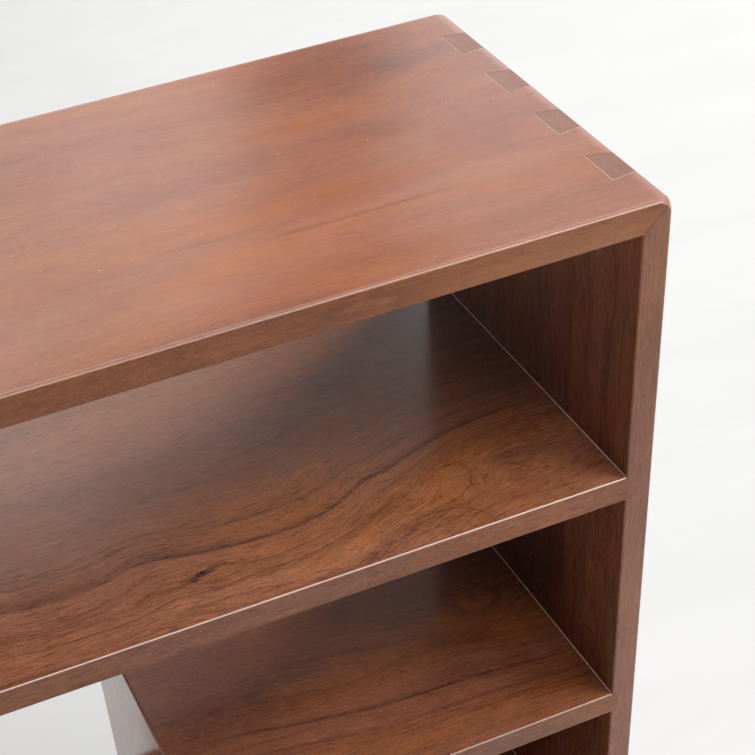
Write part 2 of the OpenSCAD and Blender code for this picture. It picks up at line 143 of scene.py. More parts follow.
class Nodes:
    """Short calls that add and join nodes in one tree."""

    def __init__(self, tree):
        self.tree = tree

    def feed(self, socket, value):
        """Links a socket to another, or gives it a value."""
        if isinstance(value, bpy.types.NodeSocket):
            self.tree.links.new(value, socket)
        elif value is not None:
            opaque = socket.type == "RGBA" and len(value) == 3
            socket.default_value = (*value, 1.0) if opaque else value

    def add(self, kind, inputs=None, **settings):
        node = self.tree.nodes.new(kind)
        for key, value in settings.items():
            setattr(node, key, value)
        for key, value in (inputs or {}).items():
            self.feed(node.inputs[key], value)
        return node

    def math(self, operation, a, b=None, c=None, clamp=False):
        node = self.add("ShaderNodeMath", operation=operation, use_clamp=clamp)
        for socket, value in zip(node.inputs, (a, b, c)):
            self.feed(socket, value)
        return node.outputs[0]

    def plus(self, a, b):
        return self.math("ADD", a, b)

    def less(self, a, b):
        return self.math("SUBTRACT", a, b)

    def times(self, a, b):
        return self.math("MULTIPLY", a, b)

    def times_plus(self, a, b, c, clamp=False):
        return self.math("MULTIPLY_ADD", a, b, c, clamp)

    def weighted(self, start, *pairs):
        """Adds values times their weights to a start."""
        for value, weight in pairs:
            start = self.times_plus(value, weight, start)
        return start

    def vector(self, operation, a, b=None):
        node = self.add("ShaderNodeVectorMath", operation=operation)
        for socket, value in zip(node.inputs, (a, b)):
            self.feed(socket, value)
        return node.outputs[0]

    def split(self, vector):
        return self.add("ShaderNodeSeparateXYZ", {0: vector}).outputs

    def join(self, x, y, z):
        return self.add("ShaderNodeCombineXYZ", {0: x, 1: y, 2: z}).outputs[0]

    def noise(self, vector, scale, detail, roughness, distortion=0.0):
        inputs = {"Vector": vector, "Scale": scale, "Detail": detail}
        inputs.update({"Roughness": roughness, "Distortion": distortion})
        return self.add("ShaderNodeTexNoise", inputs).outputs["Fac"]

    def drawn_noise(self, vector, rates, detail, roughness, distortion=0.0):
        """Noise with its own rate along x, y and z."""
        drawn = self.vector("MULTIPLY", vector, rates)
        return self.noise(drawn, 1.0, detail, roughness, distortion)

    def spread(self, value, low, high, to_low=0.0, to_high=1.0, smooth=True):
        """Maps low..high to to_low..to_high and holds it there."""
        inputs = {"Value": value, "From Min": low, "From Max": high}
        inputs.update({"To Min": to_low, "To Max": to_high})
        kind = "SMOOTHSTEP" if smooth else "LINEAR"
        return self.add("ShaderNodeMapRange", inputs, interpolation_type=kind).outputs[0]

    def mix(self, fac, a, b, blend="MIX"):
        """Mix of two colours."""
        inputs = {"Factor": fac, 6: a, 7: b}
        return self.add("ShaderNodeMix", inputs, data_type="RGBA", blend_type=blend).outputs[2]

    def fold(self, operation, parts):
        """Takes values together. No values give None."""
        result = None
        for part in parts:
            result = part if result is None else self.math(operation, result, part)
        return result

    def offset(self, value, middle, reach):
        """How many reaches a value lies from a middle."""
        return self.math("DIVIDE", self.less(value, middle), reach)

    def bell(self, square):
        """1 where the square is 0, falling to 0 as it grows."""
        return self.math("EXPONENT", self.times(square, -1.0))

    def hill(self, u, v, spot):
        """1 at a spot of the board, falling to 0 around it."""
        a = self.offset(u, spot.u, spot.reach_u)
        b = self.offset(v, spot.v, spot.reach_v)
        return self.bell(self.times_plus(a, a, self.times(b, b)))

    def place(self):
        """Place on the part, in metres."""
        return self.add("ShaderNodeTexCoord").outputs["Object"]


def new_material(name):
    material = bpy.data.materials.new(name)
    material.use_nodes = True
    material.node_tree.nodes.clear()
    return material, Nodes(material.node_tree)


def scaled(tone, factor):
    """A colour times a number, no brighter than white."""
    return tuple(min(1.0, factor * part) for part in tone)


def principled(n, tone, roughness, **sockets):
    """Shader. The other sockets are given by their names."""
    inputs = {key.replace("_", " "): value for key, value in sockets.items()}
    inputs.update({"Base Color": tone, "Roughness": roughness})
    return n.add("ShaderNodeBsdfPrincipled", inputs).outputs[0]


def finish_surface(n, tone, roughness, height, depth, **sockets):
    """Surface of a material, with a relief of this depth."""
    relief = n.add("ShaderNodeBump", {"Height": height, "Strength": 1.0, "Distance": depth})
    shader = principled(n, tone, roughness, Normal=relief.outputs[0], **sockets)
    n.add("ShaderNodeOutputMaterial", {"Surface": shader})


# Figure of the boards. On a board u runs along the grain and v across its face,
# in metres from the middle of the case and, upwards, from the floor.

# Grain is its direction, shift the place in the log, so that no two boards look
# alike, and rate the growth lines for one metre across the grain. Lines, fine
# and cloud are the strengths of the growth lines, of the fibres and pores, and
# of the stain's clouds. Tone is lighter above 0 and darker below, hue goes
# towards orange above 0 and towards purple below.
Board = namedtuple("Board", "grain shift rate lines fine cloud tone hue")

# A place on a face and its reach along and across the grain
Spot = namedtuple("Spot", "u v reach_u reach_v")

# A spot with the change of tone and of hue there; some are painted shade and light
ToneAndLightSpot = namedtuple("ToneAndLightSpot", "u v reach_u reach_v tone hue", defaults=(0.0,))

# From where to where across the grain something fades, and what is left of it
Fade = namedtuple("Fade", "near far left")

# Rises of a line along the grain: from one height to another, and up and back
Ramp = namedtuple("Ramp", "start end rise")
Bow = namedtuple("Bow", "u reach rise")

# Sweep of the grain over a whole board, strongest at v
Sweep = namedtuple("Sweep", "ramps bows v reach")

# A spot that bends the grain: how far it lifts the lines and how it parts them
Swirl = namedtuple("Swirl", "u v reach_u reach_v lift part", defaults=(0.0,))

# Thin dark arc: the part of an ellipse that lies this way along and across the
# grain, or a faint whole ring where both are 0
Arc = namedtuple("Arc", "u v radius_u radius_v way_u way_v strength")

# Dark streak: its place across the grain before the sweep, and its two ends
Streak = namedtuple("Streak", "v bows start end width strength")

# Glue line between two staves, and the change of tone from front to back stave
Stave = namedtuple("Stave", "v tone")

# Figure on the edges of a board: strengths as on its faces, the change of tone
# and of hue, and the sheen that the lacquer keeps there
Edge = namedtuple("Edge", "lines fine cloud tone hue sheen")

BOARDS = {
    "top_board": Board("X", (3.1, 0.2, 0.7), 24.0, 0.12, 0.4, 0.85, 0.08, -0.2),
    "upper_shelf": Board("X", (0.0, 0.0, 0.0), 62.0, 0.76, 1.2, 0.6, 0.24, -0.15),
    "half_shelf": Board("X", (1.7, 0.9, 0.4), 46.0, 0.6, 0.9, 0.7, 0.02, -0.1),
    "half_divider": Board("Z", (2.2, 1.4, 0.1), 40.0, 0.4, 0.9, 0.6, 0.9, 0.4),
    "deck_shelf": Board("X", (5.3, 0.4, 1.9), 46.0, 0.7, 1.1, 0.9, -0.15, 0.2),
    "bottom_board": Board("X", (7.9, 2.1, 0.3), 40.0, 0.6, 1.1, 0.9, 0.0, 0.0),
    "side_right": Board("Z", (4.4, 0.6, 2.8), 46.0, 0.5, 1.15, 1.1, 0.45, -1.0),
    "side_left": Board("Z", (6.1, 1.2, 3.3), 44.0, 0.5, 1.1, 1.0, 0.02, 0.0),
    "lower_divider": Board("Z", (8.3, 0.1, 0.9), 42.0, 0.5, 1.1, 0.9, 0.0, 0.2),
    "shelf_left": Board("X", (9.2, 1.7, 1.1), 42.0, 0.7, 1.1, 0.9, 0.05, 0.2),
    "shelf_right": Board("X", (10.6, 0.8, 2.2), 48.0, 0.6, 1.1, 0.9, 0.0, 0.0),
    "mitre_spline": Board("Y", (0.4, 2.6, 1.0), 40.0, 0.3, 0.8, 0.5, 0.0, 0.0),
    "plinth_front": Board("X", (11.1, 0.3, 0.6), 50.0, 0.5, 1.0, 0.8, -0.2, 0.0),
    "plinth_back": Board("X", (12.7, 1.1, 1.6), 50.0, 0.5, 1.0, 0.8, -0.2, 0.0),
    "plinth_left": Board("Y", (13.5, 0.9, 2.6), 50.0, 0.5, 1.0, 0.8, -0.2, 0.0),
    "plinth_right": Board("Y", (14.2, 1.9, 0.2), 50.0, 0.5, 1.0, 0.8, -0.2, 0.0),
}

# Soft changes over a face: tone and hue of the wood, painted shade and painted light
PAINTED_LIGHT_AND_TONE = {
    "top_board": (
        ToneAndLightSpot(0.385, 0.11, 0.075, 0.08, -0.34),
        ToneAndLightSpot(0.18, -0.06, 0.2, 0.07, 0.1),
        ToneAndLightSpot(0.1, 0.11, 0.6, 0.1, 0.08, -1.2),
        ToneAndLightSpot(0.08, -0.16, 0.26, 0.012, -0.4, 0.5),
        ToneAndLightSpot(0.41, -0.16, 0.07, 0.012, 0.45, 0.5),
    ),
    "upper_shelf": (
        # Painted shade in the back corner beside the side, under the top
        ToneAndLightSpot(0.41, 0.07, 0.04, 0.11, -0.65),
        # Painted light at the back left, where light comes in from behind (two spots)
        ToneAndLightSpot(-0.04, 0.04, 0.13, 0.07, 0.62),
        ToneAndLightSpot(0.12, 0.085, 0.065, 0.045, 0.45),
        ToneAndLightSpot(0.225, -0.048, 0.085, 0.036, 0.46),
        ToneAndLightSpot(0.01, -0.125, 0.07, 0.03, -0.12),
        ToneAndLightSpot(0.21, -0.125, 0.06, 0.022, 0.14),
        ToneAndLightSpot(0.345, -0.112, 0.02, 0.014, 0.2, 0.5),
        ToneAndLightSpot(0.392, -0.118, 0.014, 0.016, 0.22, 0.5),
        ToneAndLightSpot(0.372, -0.1, 0.01, 0.02, -0.14),
    ),
    "half_shelf": (
        # Painted shade in the back corner beside the side
        ToneAndLightSpot(0.42, 0.06, 0.05, 0.08, -0.55),
        ToneAndLightSpot(0.37, -0.022, 0.035, 0.018, 0.35, 0.6),
        ToneAndLightSpot(0.258, -0.048, 0.07, 0.03, 0.55),
        ToneAndLightSpot(0.395, -0.12, 0.045, 0.022, -0.18, 0.5),
        ToneAndLightSpot(0.15, 0.0, 0.05, 0.12, -0.05, -1.4),
        ToneAndLightSpot(0.4, -0.04, 0.05, 0.06, -0.02, 1.2),
    ),
    "side_right": (
        # Painted shade low on the inner face, in the bays; the last spot lightens the front edge
        ToneAndLightSpot(0.8, 0.0, 0.12, 0.12, -1.05, -1.2),
        ToneAndLightSpot(0.64, 0.0, 0.1, 0.12, -0.95, -1.2),
        ToneAndLightSpot(0.76, -0.16, 0.12, 0.014, 0.34, 0.6),
    ),
}

# Places where the lines and fibres fade, and the share that they lose
CALM = {"upper_shelf": Spot(0.378, -0.126, 0.05, 0.032)}
CALM_LINES = 0.85
CALM_FINE = 0.45

# Boards whose lines and fibres fade towards the back
FADING = {
    "upper_shelf": Fade(-0.085, 0.01, 0.55),
    "half_shelf": Fade(-0.06, 0.03, 0.7),
}

SWEEPS = {
    "upper_shelf": Sweep(
        ramps=(Ramp(0.215, 0.385, 0.05),),
        bows=(
            Bow(0.108, 0.026, 0.008),
            Bow(0.0, 0.02, 0.0065),
            Bow(0.195, 0.04, -0.006),
            Bow(0.27, 0.018, 0.005),
        ),
        v=-0.075,
        reach=0.085,
    ),
    "half_shelf": Sweep(
        ramps=(Ramp(0.1, 0.33, -0.03), Ramp(0.32, 0.44, -0.012)),
        bows=(Bow(0.25, 0.03, -0.002),),
        v=-0.08,
        reach=0.07,
    ),
    "deck_shelf": Sweep(
        ramps=(Ramp(-0.3, -0.05, 0.03),),
        bows=(Bow(0.15, 0.06, 0.008),),
        v=-0.04,
        reach=0.09,
    ),
}

SWIRLS = {
    "upper_shelf": (
        Swirl(0.139, -0.112, 0.03, 0.012, 0.0, 0.75),
        Swirl(0.14, -0.112, 0.013, 0.005, 0.0055),
        Swirl(0.088, -0.124, 0.018, 0.012, 0.0055),
        Swirl(0.33, -0.108, 0.034, 0.017, 0.0, 0.6),
        Swirl(0.352, -0.099, 0.007, 0.005, 0.005),
        Swirl(0.322, -0.121, 0.012, 0.007, 0.005),
        Swirl(0.384, -0.132, 0.036, 0.021, 0.0075),
    ),
    "half_shelf": (
        Swirl(0.375, -0.026, 0.045, 0.022, 0.014),
        Swirl(0.215, -0.03, 0.06, 0.024, -0.006),
    ),
    "top_board": (Swirl(0.3, 0.045, 0.12, 0.06, 0.04),),
    "deck_shelf": (Swirl(-0.23, -0.06, 0.05, 0.018, 0.015),),
    "side_left": (Swirl(0.7, 0.05, 0.06, 0.02, 0.018),),
    "side_right": (Swirl(1.09, -0.12, 0.04, 0.016, 0.012),),
}

ARCS = {
    "upper_shelf": (
        Arc(0.149, -0.1125, 0.0185, 0.0085, 1.0, -0.6, 0.5),
        Arc(0.101, -0.119, 0.017, 0.019, -1.0, -0.3, 0.4),
        Arc(0.352, -0.099, 0.0048, 0.0042, 0.0, 0.0, 0.9),
        Arc(0.3, -0.096, 0.04, 0.027, 0.8, -0.8, 0.6),
        Arc(0.3, -0.152, 0.031, 0.026, 0.8, 0.8, 0.65),
        Arc(0.338, -0.126, 0.044, 0.033, 1.0, 0.0, 0.35),
        Arc(0.336, -0.129, 0.056, 0.042, 1.0, -0.2, 0.3),
    ),
}
ARC_WIDTH = 0.0006

STREAKS = {
    "upper_shelf": (
        Streak(-0.0905, (), 0.07, 0.44, 0.0013, 0.95),
        Streak(-0.0905, (), -0.3, 0.17, 0.0012, 0.55),
        Streak(-0.087, (Bow(0.258, 0.022, 0.006), Bow(0.12, 0.04, 0.002)), -0.1, 0.42, 0.0008, 0.5),
        Streak(-0.07, (Bow(0.2, 0.06, 0.004),), -0.2, 0.4, 0.0012, 0.5),
        Streak(-0.063, (Bow(0.25, 0.05, 0.003),), -0.22, 0.36, 0.0008, 0.35),
        Streak(-0.101, (Bow(0.27, 0.03, -0.003),), 0.16, 0.34, 0.0007, 0.3),
    ),
    "top_board": (
        Streak(-0.0765, (), 0.195, 0.365, 0.001, 0.45),
        Streak(-0.06, (Bow(0.2, 0.05, -0.002),), 0.13, 0.24, 0.0009, 0.3),
        Streak(-0.018, (), -0.26, 0.06, 0.0014, 0.3),
        Streak(0.065, (), -0.4, -0.08, 0.0014, 0.3),
    ),
    "half_shelf": (
        Streak(-0.059, (Bow(0.2, 0.03, -0.002),), 0.12, 0.44, 0.0011, 0.8),
        Streak(-0.019, (Bow(0.366, 0.03, -0.005),), 0.3, 0.41, 0.003, 0.55),
        Streak(-0.085, (), 0.26, 0.44, 0.0008, 0.45),
        Streak(-0.1, (), 0.24, 0.43, 0.0008, 0.4),
    ),
    "side_right": (
        Streak(-0.03, (), 0.5, 1.1, 0.0015, 0.45),
        Streak(-0.12, (), 0.86, 1.1, 0.001, 0.4),
    ),
}

# How much softer a streak is towards the back than towards the front, the
# lengths over which it starts and ends, and how far it wanders
STREAK_SOFTER = 3.2
STREAK_START = 0.05
STREAK_END = 0.06
STREAK_WANDER = 0.001

# Hearts of knots, and how far they lean across the grain for each metre along it
KNOTS = {"upper_shelf": Spot(0.137, -0.1107, 0.015, 0.0042)}
KNOT_LEAN = -0.28

# The back stave lies elsewhere in the log: along the grain and through the board
STAVES = {
    "side_right": Stave(-0.076, -0.03),
    "side_left": Stave(0.031, 0.1),
}
STAVE_SHIFT = (1.37, 0.81)

# Boards whose edges differ from their faces
EDGES = {
    "top_board": Edge(0.4, 0.55, 1.4, 0.04, 0.6, 0.36),
    "upper_shelf": Edge(0.5, 0.75, 0.8, -0.2, 0.8, 0.4),
    "half_shelf": Edge(0.5, 0.7, 0.8, -0.08, 0.8, 0.42),
    "side_right": Edge(0.35, 0.65, 0.9, -0.3, 0.1, 0.5),
}

# How squarely a surface has to look a way, from not at all to fully: to be a
# face and no edge, to be end grain, to be flat and not rounded, to be the upper
# part of a rounded edge, and to hold dust
FACE_TURN = (0.5, 0.9)
END_TURN = (0.72, 0.88)
FLAT_TURN = (0.8, 0.997)
RIM_TURN = (0.15, 0.45)
DUST_TURN = (0.9, 0.99)

# Sheen of the lacquer, where nothing else is said, on the top, and towards the
# front of the half shelf's divider, where it is worn dull
SHEEN = 0.5
TOP_SHEEN = 0.45
DULL_SHEEN = 0.05
DULL_REACH = (-0.03, 0.06)

# Redder stain of the top, a fifth of it at the left and all of it at the right
TOP_WASH = (1.0, 0.9, 0.91)
TOP_WASH_LEAST = 0.2
TOP_WASH_REACH = (0.02, 0.22)

# Dust in the lacquer: cells in a metre, the share of them that stays clean, how
# far a speck reaches in its cell, and how plainly it shows
DUST_CELLS = 90.0
DUST_CLEAN = 0.68
DUST_SPECK = (0.025, 0.06)
DUST_ON_TOP = 0.6
DUST_ELSEWHERE = 0.4

# How strongly the rounded upper edges are painted pale as a highlight: on the
# case, on other boards, and where one differs from those
HIGHLIGHT_ON_CASE = 0.14
HIGHLIGHT_ON_OTHERS = 0.68
HIGHLIGHT_BY_BOARD = {"half_shelf": 0.36}

# Painted highlights on the top at its rounded ends, and a painted reflection
# along its front and back
TOP_ENDS = (0.44, 0.45)
TOP_ENDS_HIGHLIGHT = 1.6
TOP_ARRIS = (0.15, 0.153)
TOP_ARRIS_REFLECTION = 0.15

# Tints that the hue of the wood drifts between
PURPLE_TINT = (0.94, 1.02, 1.26)
ORANGE_TINT = (1.04, 1.0, 0.8)

PORE_DEPTH = 0.002 * MM
LACQUER_IOR = 1.5

CASE_BOARDS = ("top_board", "side_left", "side_right", "bottom_board")
FIXED_BOARDS = (
    "upper_shelf",
    "half_shelf",
    "half_divider",
    "deck_shelf",
    "lower_divider",
    "mitre_spline",
)
LOOSE_BOARDS = ("shelf_left", "shelf_right")
PLINTH_RAILS = ("plinth_front", "plinth_back", "plinth_left", "plinth_right")


# Timber


def stretched(n, vector, u_rate, v_rate, detail, roughness=0.55, distortion=0.0):
    """Noise between -1 and 1, mostly within a quarter of that."""
    rates = (u_rate, v_rate, v_rate)
    value = n.drawn_noise(vector, rates, detail, roughness, distortion)
    return n.times_plus(value, 2.0, -1.0)


def growth_lines(n, along, across, rate):
    """Level lines of a field that rises across the board."""
    broad = stretched(n, along, 0.9, 6.0, 1.0)
    crowd = stretched(n, along, 4.5, 24.0, 2.0)
    field = n.weighted(n.times(crowd, 1.1), (broad, 2.2))
    field = n.times_plus(across, rate, field)

    def level(crowding, power):
        """Lines that fade in slowly and end sharply."""
        turn = n.math("FRACT", n.times(field, crowding))
        end = n.spread(turn, 0.0, 0.06, 1.0, 0.0)
        return n.math("MAXIMUM", n.math("POWER", turn, power), end)

    present = n.spread(stretched(n, along, 3.4, 30.0, 2.0), -0.06, 0.30)
    present_fine = n.spread(stretched(n, along, 6.0, 75.0, 2.0), -0.10, 0.26)
    lines = n.weighted(n.times(level(1.0, 2.5), 0.22), (level(1.0, 9.0), 0.75))
    fine = n.weighted(n.times(level(10.7, 2.0), 0.15), (level(4.3, 5.0), 0.42))
    return n.times_plus(fine, present_fine, n.times(lines, present))


def timber_group(timber):
    """Node group for the figure of one board. Its vector is in metres, x along
    the grain, y across the face and z through the board."""
    tree = bpy.data.node_groups.new("Stained timber", "ShaderNodeTree")
    face = tree.interface
    face.new_socket("Vector", in_out="INPUT", socket_type="NodeSocketVector")
    for name in ("Bend", "Rate", "Lines", "Fine", "Cloud", "Tone", "Hue", "Streak", "Knot"):
        face.new_socket(name, in_out="INPUT", socket_type="NodeSocketFloat")
    for name, kind in (("Color", "Color"), ("Roughness", "Float"), ("Height", "Float")):
        face.new_socket(name, in_out="OUTPUT", socket_type="NodeSocket" + kind)
    n = Nodes(tree)
    given = n.add("NodeGroupInput").outputs
    place = given["Vector"]

    # Slow drift of the grain, so that no line is straight
    drift = stretched(n, place, 1.4, 5.0, 2.0)
    ripple = stretched(n, place, 8.0, 18.0, 2.0)
    wave = stretched(n, place, 38.0, 60.0, 2.0)
    u, v, w = n.split(place)
    bend = n.weighted(n.times(wave, 0.0009), (ripple, 0.005), (drift, 0.045))
    across = n.plus(v, n.plus(bend, given["Bend"]))
    along = n.join(u, across, n.times_plus(drift, 0.03, w))
    lines = n.times(growth_lines(n, along, across, given["Rate"]), given["Lines"])

    # Tone: clouds of stain, bands between the lines, fibres and pores
    cloud = stretched(n, place, 4.6, 15.0, 4.0, 0.6, 0.7)
    band = stretched(n, along, 1.8, 62.0, 3.0, 0.6)
    curl = stretched(n, place, 46.0, 26.0, 3.0, 0.6)
    fibre = stretched(n, along, 30.0, 900.0, 3.0, 0.7)
    thread = stretched(n, along, 75.0, 1700.0, 2.0, 0.7)
    speck = stretched(n, place, 620.0, 950.0, 1.0)
    pores = n.spread(stretched(n, along, 120.0, 1500.0, 1.0), 0.16, 0.42)
    soft = n.times_plus(cloud, n.times(given["Cloud"], 0.6), 0.5)
    soft = n.plus(soft, given["Tone"])
    fine = n.weighted(n.times(pores, -0.4), (thread, 0.85), (fibre, 0.75), (speck, 0.34))
    fine = n.weighted(n.plus(fine, 0.04), (curl, 0.22), (band, 0.4))
    value = n.times_plus(fine, given["Fine"], soft)
    body = n.mix(n.spread(value, 0.0, 0.5, smooth=False), timber.dark, timber.middle)
    body = n.mix(n.spread(value, 0.5, 1.0, smooth=False), body, timber.light)
    body = n.mix(n.spread(value, 1.1, 1.8, smooth=False), body, timber.pale)

    # Hue drifts between orange and a purplish red
    hue = n.weighted(stretched(n, along, 3.6, 17.0, 4.0, 0.6), (given["Hue"], 0.16))
    tint = n.mix(n.spread(hue, -0.25, 0.25), PURPLE_TINT, ORANGE_TINT)
    body = n.mix(1.0, body, tint, "MULTIPLY")

    # Growth lines, streaks and knots lie over the tone
    dark = n.math("MAXIMUM", n.times(lines, 0.80), given["Streak"], clamp=True)
    dark = n.times(dark, n.times_plus(fibre, 0.8, 0.88, clamp=True))
    body = n.mix(dark, body, timber.line)
    body = n.mix(given["Knot"], body, timber.knot)

    rough = n.weighted(timber.gloss, (pores, 0.04), (cloud, 0.03))
    height = n.weighted(n.times(fibre, 0.3), (pores, -0.6))
    n.add("NodeGroupOutput", {"Color": body, "Roughness": rough, "Height": height})
    return tree


class Face:
    """Place on a board, along and across its grain, and the way it looks there."""

    def __init__(self, n, grain):
        coords = n.add("ShaderNodeTexCoord").outputs
        self.place = coords["Object"]
        x, y, z = n.split(self.place)
        self.u, self.v, self.w = {"X": (x, y, z), "Y": (y, x, z), "Z": (z, y, x)}[grain]
        self.normal = n.split(coords["Normal"])
        self.up = self.normal[2]
        self.lengthways = n.math("ABSOLUTE", self.normal["XYZ".index(grain)])


def course(n, u, ramps, bows):
    """Rise of a line along the board: the sum of its ramps and bows."""
    parts = [n.spread(u, ramp.start, ramp.end, 0.0, ramp.rise) for ramp in ramps]
    for bow in bows:
        a = n.offset(u, bow.u, bow.reach)
        parts.append(n.times(n.bell(n.times(a, a)), bow.rise))
    return n.fold("ADD", parts)


def patchy(n, dark, ragged):
    """Breaks a dark line up a little."""
    return n.times(dark, n.times_plus(ragged, 1.0, 0.75, clamp=True))


def streak_line(n, u, v, streak, ragged):
    """Darkness of one dark streak along the board."""
    off = n.less(n.less(v, streak.v), n.times(ragged, STREAK_WANDER))
    if streak.bows:
        off = n.less(off, course(n, u, (), streak.bows))
    near = n.math("DIVIDE", n.math("MINIMUM", off, 0.0), streak.width)
    far = n.math("DIVIDE", n.math("MAXIMUM", off, 0.0), STREAK_SOFTER * streak.width)
    dark = n.bell(n.times_plus(near, near, n.times(far, far)))
    start = n.spread(u, streak.start, streak.start + STREAK_START)
    end = n.spread(u, streak.end - STREAK_END, streak.end, 1.0, 0.0)
    dark = n.times(dark, n.times(start, end))
    return patchy(n, n.times(dark, streak.strength), ragged)


def arc_line(n, u, v, arc, ragged):
    """Darkness of one thin arc of an ellipse."""
    a = n.offset(u, arc.u, arc.radius_u)
    b = n.offset(v, arc.v, arc.radius_v)
    radius = n.math("SQRT", n.times_plus(a, a, n.times(b, b)))
    off = n.times_plus(ragged, 0.05, n.less(radius, 1.0))
    off = n.times(off, min(arc.radius_u, arc.radius_v) / ARC_WIDTH)
    way = n.times_plus(a, arc.way_u, n.times(b, arc.way_v))
    shown = n.spread(way, -0.25, 0.6, 0.0, arc.strength)
    return patchy(n, n.times(n.bell(n.times(off, off)), shown), ragged)


def bends(n, face, name):
    """How far the grain bends, and how much of that is the sweep."""
    parts, rise = [], None
    if name in SWEEPS:
        sweep = SWEEPS[name]
        away = n.offset(face.v, sweep.v, sweep.reach)
        rise = course(n, face.u, sweep.ramps, sweep.bows)
        rise = n.times(rise, n.bell(n.times(away, away)))
        parts.append(n.times(rise, -1.0))
    for swirl in SWIRLS.get(name, ()):
        beyond = n.less(face.v, swirl.v)
        push = n.times_plus(beyond, -swirl.part, swirl.lift)
        parts.append(n.times(n.hill(face.u, face.v, swirl), push))
    return n.fold("ADD", parts), rise


def dark_marks(n, face, name, rise):
    """Darkness of a board's streaks, which follow the sweep, of its arcs and of
    its knot."""
    if name not in STREAKS:
        return None, None
    ragged = stretched(n, face.place, 60.0, 420.0, 2.0, 0.6)
    v = face.v if rise is None else n.less(face.v, rise)
    marks = [streak_line(n, face.u, v, streak, ragged) for streak in STREAKS[name]]
    if name in ARCS:
        arcs = n.fold("MAXIMUM", [arc_line(n, face.u, face.v, arc, ragged) for arc in ARCS[name]])
        marks.append(n.times(arcs, n.spread(face.up, *FACE_TURN)))
    knot = None
    if name in KNOTS:
        heart = KNOTS[name]
        leaning = n.times_plus(n.less(face.u, heart.u), KNOT_LEAN, face.v)
        core = n.times_plus(ragged, 1.1, n.hill(face.u, leaning, heart))
        halo = n.spread(core, 0.05, 0.60, 0.0, 0.45)
        knot = n.math("MAXIMUM", n.spread(core, 0.50, 0.90), halo)
    return n.fold("MAXIMUM", marks), knot


def tone_and_painted_light(n, face, name, tone, hue):
    """Tone and hue of a board with its soft changes, painted shade and light among them."""
    for spot in PAINTED_LIGHT_AND_TONE.get(name, ()):
        here = n.hill(face.u, face.v, spot)
        tone = n.times_plus(here, spot.tone, tone)
        if spot.hue:
            hue = n.times_plus(here, spot.hue, hue)
    return tone, hue


def strengths(n, face, name):
    """Strengths of a board's lines and fibres, less where it is calm."""
    lines, fine = BOARDS[name].lines, BOARDS[name].fine
    if name in CALM:
        calm = n.hill(face.u, face.v, CALM[name])
        lines = n.times_plus(calm, -CALM_LINES * lines, lines)
        fine = n.times_plus(calm, -CALM_FINE * fine, fine)
    if name in FADING:
        fading = FADING[name]
        fade = n.spread(face.v, fading.near, fading.far, 1.0, fading.left)
        lines = n.times(fade, lines)
        fine = n.times(fade, fine)
    return lines, fine


def sheen_of(n, face, name):
    """Sheen of the lacquer on a board's face."""
    if name == "half_divider":
        return n.spread(face.v, *DULL_REACH, DULL_SHEEN, SHEEN)
    return TOP_SHEEN if name == "top_board" else SHEEN


def end_grain(n, face, place, timber):
    """Colour of the wood where it is cut across the grain."""
    speck = n.noise(face.place, 1100.0, 2.0, 0.6)
    rings = n.drawn_noise(place, (1.0, 60.0, 190.0), 3.0, 0.5, 0.8)
    rings = n.times_plus(rings, 1.4, -0.6)
    value = n.times_plus(speck, 0.8, rings, clamp=True)
    return n.mix(value, timber.end_dark, timber.end_light)


def dusted(n, face, name, timber, body):
    """A few specks of dust in the lacquer of the upward faces."""
    cells = n.add("ShaderNodeTexVoronoi", {"Vector": face.place, "Scale": DUST_CELLS})
    chosen = n.math("GREATER_THAN", n.split(cells.outputs["Color"])[0], DUST_CLEAN)
    speck = n.spread(cells.outputs["Distance"], *DUST_SPECK, 1.0, 0.0)
    speck = n.times(n.times(speck, chosen), n.spread(face.up, *DUST_TURN))
    shows = DUST_ON_TOP if name == "top_board" else DUST_ELSEWHERE
    return n.mix(n.times(speck, shows), body, timber.dust)


def painted_edge_highlights(n, face, name, timber, body):
    """Paints pale highlights on the rounded upper edges, and stains the top redder."""
    # Painted highlight: pale colour on the upper part of each rounded edge
    flat = n.fold("MAXIMUM", [n.math("ABSOLUTE", way) for way in face.normal])
    rounded = n.spread(flat, *FLAT_TURN, 1.0, 0.0)
    edge = n.times(rounded, n.spread(face.up, *RIM_TURN))
    if name == "top_board":
        up = n.spread(face.up, *FACE_TURN)
        wash = n.times(up, n.spread(face.u, *TOP_WASH_REACH, TOP_WASH_LEAST, 1.0))
        body = n.mix(wash, body, TOP_WASH, "MULTIPLY")
        # Painted highlights on the top's rounded ends, and a painted reflection along its front and
        # back
        ends = n.spread(n.math("ABSOLUTE", face.u), *TOP_ENDS, 0.0, TOP_ENDS_HIGHLIGHT)
        edge = n.math("MAXIMUM", edge, n.times(ends, up))
        arris = n.spread(n.math("ABSOLUTE", face.v), *TOP_ARRIS, 0.0, TOP_ARRIS_REFLECTION)
        body = n.mix(n.times(arris, up), body, timber.edge_highlight)
    # How strongly the painted highlight shows on this board
    pale = HIGHLIGHT_BY_BOARD.get(name, HIGHLIGHT_ON_CASE if name in CASE_BOARDS else HIGHLIGHT_ON_OTHERS)
    return n.mix(n.times(edge, pale), body, timber.edge_highlight)


